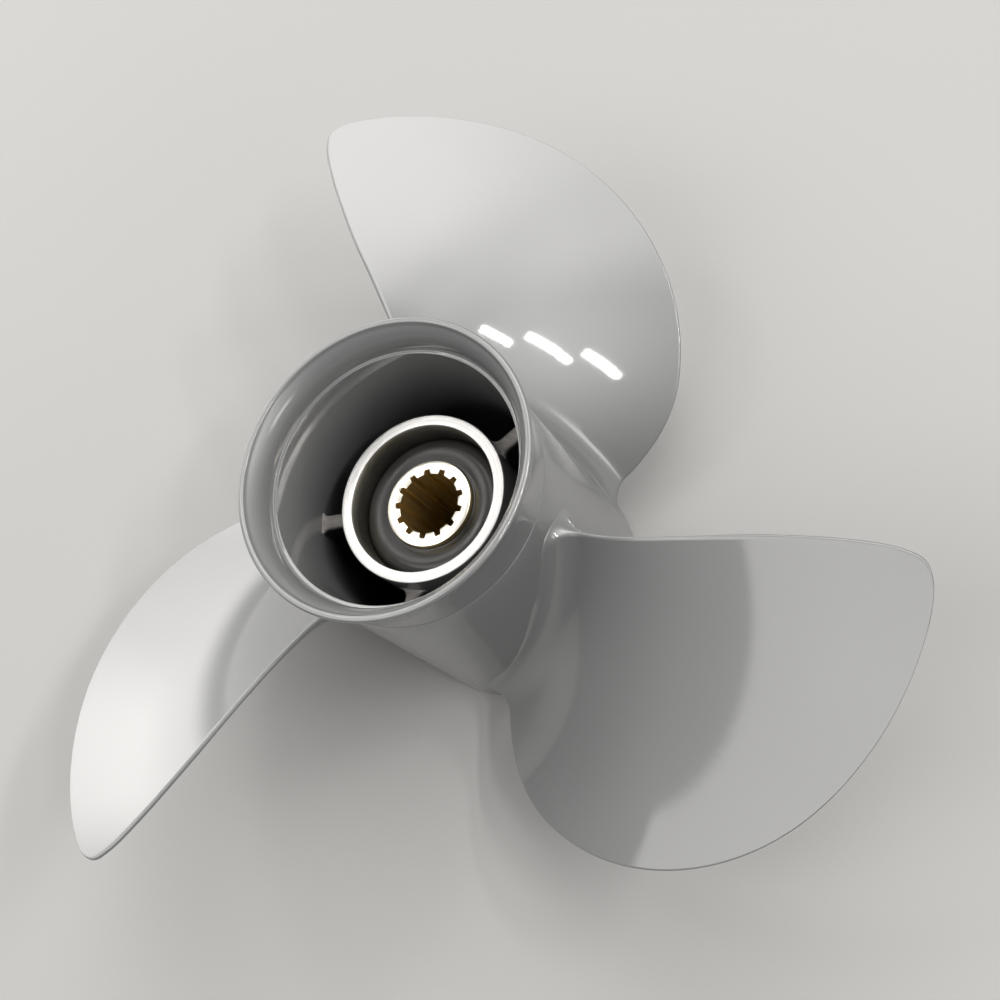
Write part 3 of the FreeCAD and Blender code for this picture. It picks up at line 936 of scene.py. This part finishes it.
# %% Splined sleeve
def sleeve_slice(count):
    """One thirteenth of the sleeve: stations across the groove, and a loop round the wall."""
    pitch = 360.0 / count
    land, floor, pilot = LAND_R, GROOVE_R, PILOT_R
    stations = [(-0.5 * pitch, land), (-10.0, land), (-6.9, land), (-6.35, land + 0.12 * MM),
                (-4.75, floor - 0.15 * MM), (-4.2, floor), (-2.1, floor), (0.0, floor)]
    stations += [(-angle, bore) for angle, bore in reversed(stations[:-1])]
    top, bevel = SLEEVE_Z, 0.35 * MM
    verts, faces = [], []
    for angle, bore in stations:
        a = math.radians(angle)
        loop = [(pilot, 0.0), (SLEEVE_R - bevel, 0.0), (SLEEVE_R - 0.1 * MM, 0.1 * MM), (SLEEVE_R, bevel)]
        loop += [(SLEEVE_R, k * 14.0 * MM) for k in range(1, 6)]
        loop += [(SLEEVE_R, top - bevel), (SLEEVE_R - 0.1 * MM, top - 0.1 * MM), (SLEEVE_R - bevel, top)]
        loop += [(SLEEVE_R - 1.2 * MM, top), (bore + 0.3 * MM, top), (bore + 0.06 * MM, top - 0.08 * MM)]
        loop += [(bore, top - 0.3 * MM)] + [(bore, top - k * 12.9 * MM) for k in range(1, 5)]
        loop += [(bore, PILOT_DEPTH), (pilot, PILOT_DEPTH), (pilot, 0.5 * PILOT_DEPTH)]
        for r, z in loop:
            verts.append((r * math.cos(a), r * math.sin(a), z))
    tall = len(loop)
    for i in range(len(stations) - 1):
        for k in range(tall):
            m = (k + 1) % tall
            faces.append((i * tall + k, (i + 1) * tall + k, (i + 1) * tall + m, i * tall + m))
    mesh = bpy.data.meshes.new("sleeve_slice")
    mesh.from_pydata(verts, [], faces)
    obj = bpy.data.objects.new("sleeve", mesh)
    bpy.context.scene.collection.objects.link(obj)
    return obj


def copies_tree(name, weld):
    """A tree that sets equal copies of a piece round the shaft and welds them."""
    tree, given, result = new_tree(name, [
        ("Count", "NodeSocketInt", 13), ("First angle", "NodeSocketFloat", 0.0),
        ("Finish", "NodeSocketMaterial", None)])
    done = ring_of_copies(tree, given.outputs["Geometry"], given.outputs["Count"],
                          given.outputs["First angle"], given.outputs["Finish"], weld)
    tree.links.new(done, result.inputs[0])
    return tree


sleeve = sleeve_slice(SPLINE_COUNT)
grow(sleeve, copies_tree("ring_of_grooves", 0.005 * MM),
     {"Count": SPLINE_COUNT, "First angle": SPLINE_ANGLE, "Finish": BRASS})
sharpen(sleeve, 28)
report(sleeve)

# %% [markdown]
# ## Hand the pieces to the measured bodies
# Each new piece rides with the body it belongs to and stands for its plain stand-ins.

# %% Ride and replace
for piece, body, nodes, finish in (
        (blades, "propeller", ["blade_1", "blade_2", "blade_3"], "gloss_grey_paint"),
        (hub, "propeller", ["hub_barrel", "diffuser_ring"], "gloss_grey_paint"),
        (tube, "propeller", ["inner_hub_tube"], "machined_aluminium"),
        (ribs, "propeller", ["hub_rib_" + str(n) for n in range(1, 4)], "cast_aluminium"),
        (rubber, "sleeve", ["rubber_bushing"], "bushing_rubber"),
        (sleeve, "sleeve", ["splined_sleeve"], "sleeve_brass")):
    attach(piece, body)
    for node in nodes:
        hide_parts(node)
    print(piece.name, "rides on", body)

# %% [markdown]
# ## Floor
# A plain pale floor under the nose. Very faint clouding keeps it from being one flat colour.

# %% Floor
bpy.ops.mesh.primitive_plane_add(size=6.0, location=(0, 0, NOSE_Z))
floor = bpy.context.active_object
floor.name = "floor"
floor_paint, floor_tree, floor_surface = new_material("pale_floor")
floor_cloud = noise(floor_tree, object_point(floor_tree), 3.0, 2.0)
floor_colour = blend_colours(floor_tree, floor_cloud, (0.315, 0.315, 0.312, 1.0), (0.335, 0.335, 0.332, 1.0))
floor_tree.links.new(floor_colour, floor_surface.inputs["Base Color"])
floor_surface.inputs["Roughness"].default_value = 0.7
floor.data.materials.append(floor_paint)
print("floor at", NOSE_Z)

# %% [markdown]
# ## Lamps
# Gloss paint shows its lamps as shapes, so each lamp is placed where its reflection should fall. Two
# wide ones overhead fill the upper blade, low ones on the left fill the lower left blade, and a long
# panel lights half of the right-hand blade and leaves the rest grey. Three narrow tubes draw the
# bright streaks near the upper blade's root. The room itself stays dim, so the hub is dark inside.

# %% Lamps and room light
LAMP_COLOUR = (1.0, 0.975, 0.945)
ROOM_COLOUR = (0.85, 0.85, 0.86, 1.0)
ROOM_STRENGTH = 0.22
AIM_HEIGHT = 0.05
TUBE_POWER = 18.0


def softbox_glow(data, feather):
    """Fade a lamp towards its edges, as cloth stretched over a lamp box does."""
    data.use_nodes = True
    tree = data.node_tree
    glow = tree.nodes["Emission"]
    where, parts = tree.nodes.new("ShaderNodeNewGeometry"), tree.nodes.new("ShaderNodeSeparateXYZ")
    tree.links.new(where.outputs["Parametric"], parts.inputs[0])
    sides = []
    for axis in (0, 1):
        off = shader_math(tree, "ABSOLUTE", shader_math(tree, "SUBTRACT", parts.outputs[axis], 0.5))
        fade = tree.nodes.new("ShaderNodeMapRange")
        fade.interpolation_type = "SMOOTHSTEP"
        fade.inputs["From Min"].default_value = 0.5
        fade.inputs["From Max"].default_value = 0.5 - feather
        tree.links.new(off, fade.inputs["Value"])
        sides.append(fade.outputs["Result"])
    tree.links.new(shader_math(tree, "MULTIPLY", sides[0], sides[1]), glow.inputs["Strength"])


def around(azimuth, elevation, distance):
    """A place given by compass angle, height angle and distance from the hub."""
    a, e = math.radians(azimuth), math.radians(elevation)
    return Vector((distance * math.cos(e) * math.cos(a), distance * math.cos(e) * math.sin(a),
                   AIM_HEIGHT + distance * math.sin(e)))


def lamp(name, place, size, power, feather=0.4, aim=(0.0, 0.0, AIM_HEIGHT)):
    """A soft rectangular lamp at a place, turned towards its aim."""
    data = bpy.data.lights.new(name, "AREA")
    data.shape = "RECTANGLE"
    data.size, data.size_y = size
    data.energy = power
    data.color = LAMP_COLOUR
    softbox_glow(data, feather)
    obj = bpy.data.objects.new(name, data)
    obj.location = place
    obj.rotation_euler = (Vector(aim) - Vector(place)).to_track_quat("-Z", "Y").to_euler()
    bpy.context.scene.collection.objects.link(obj)
    return obj


lamp("overhead_left", around(85, 46, 1.5), (1.6, 1.2), 34.0)
lamp("overhead", around(40, 62, 1.5), (1.1, 1.0), 12.0)
lamp("upper_middle", around(50, 42, 1.5), (1.0, 0.8), 5.5)
lamp("low_left", around(144, 13, 1.3), (1.7, 0.62), 13.0, feather=0.25)
lamp("low_front", around(160, 16, 1.35), (0.8, 0.5), 2.5)
lamp("behind", around(112, 24, 1.4), (0.8, 0.5), 6.0)
lamp("sleeve_sparkle", around(149, 56, 1.4), (0.34, 0.30), 2.8, feather=0.2)
lamp("ceiling_panel", (-0.95, -0.44, 1.05), (2.1, 0.78), 17.0, feather=0.07, aim=(-0.95, -0.43, 0.0))
lamp("right_fill", around(-20, 22, 1.4), (0.9, 0.30), 5.0)
for azimuth, elevation, length in ((20, 37.6, 0.25), (2, 42.0, 0.36), (-16, 46.0, 0.28)):
    lamp("tube", around(azimuth, elevation, 1.35), (length, 0.05), TUBE_POWER * length, feather=0.12)

world = bpy.data.worlds.new("room")
bpy.context.scene.world = world
world.use_nodes = True
room = world.node_tree.nodes["Background"]
room.inputs["Color"].default_value = ROOM_COLOUR
room.inputs["Strength"].default_value = ROOM_STRENGTH

# %% [markdown]
# ## Camera
# The camera looks down into the open rear end, rolled so that the blades point up, lower left and
# right, at the distance where the near rim looms a little.

# %% Camera
camera_data = bpy.data.cameras.new("camera")
camera_data.lens = 43.0
camera_data.sensor_width = 36.0
camera_data.clip_start = 0.01
camera = bpy.data.objects.new("camera", camera_data)
right = Vector((0.9217, 0.1291, -0.3659))
up = Vector((0.0, 0.9430, 0.3328))
back = Vector((0.3880, -0.3067, 0.8691))
camera.matrix_world = Matrix((
    (right.x, up.x, back.x, 0.1572),
    (right.y, up.y, back.y, -0.1052),
    (right.z, up.z, back.z, 0.3736),
    (0.0, 0.0, 0.0, 1.0)))
bpy.context.scene.collection.objects.link(camera)
bpy.context.scene.camera = camera
bpy.context.scene.view_settings.view_transform = "Standard"
print("camera at", tuple(round(v, 4) for v in camera.matrix_world.translation))
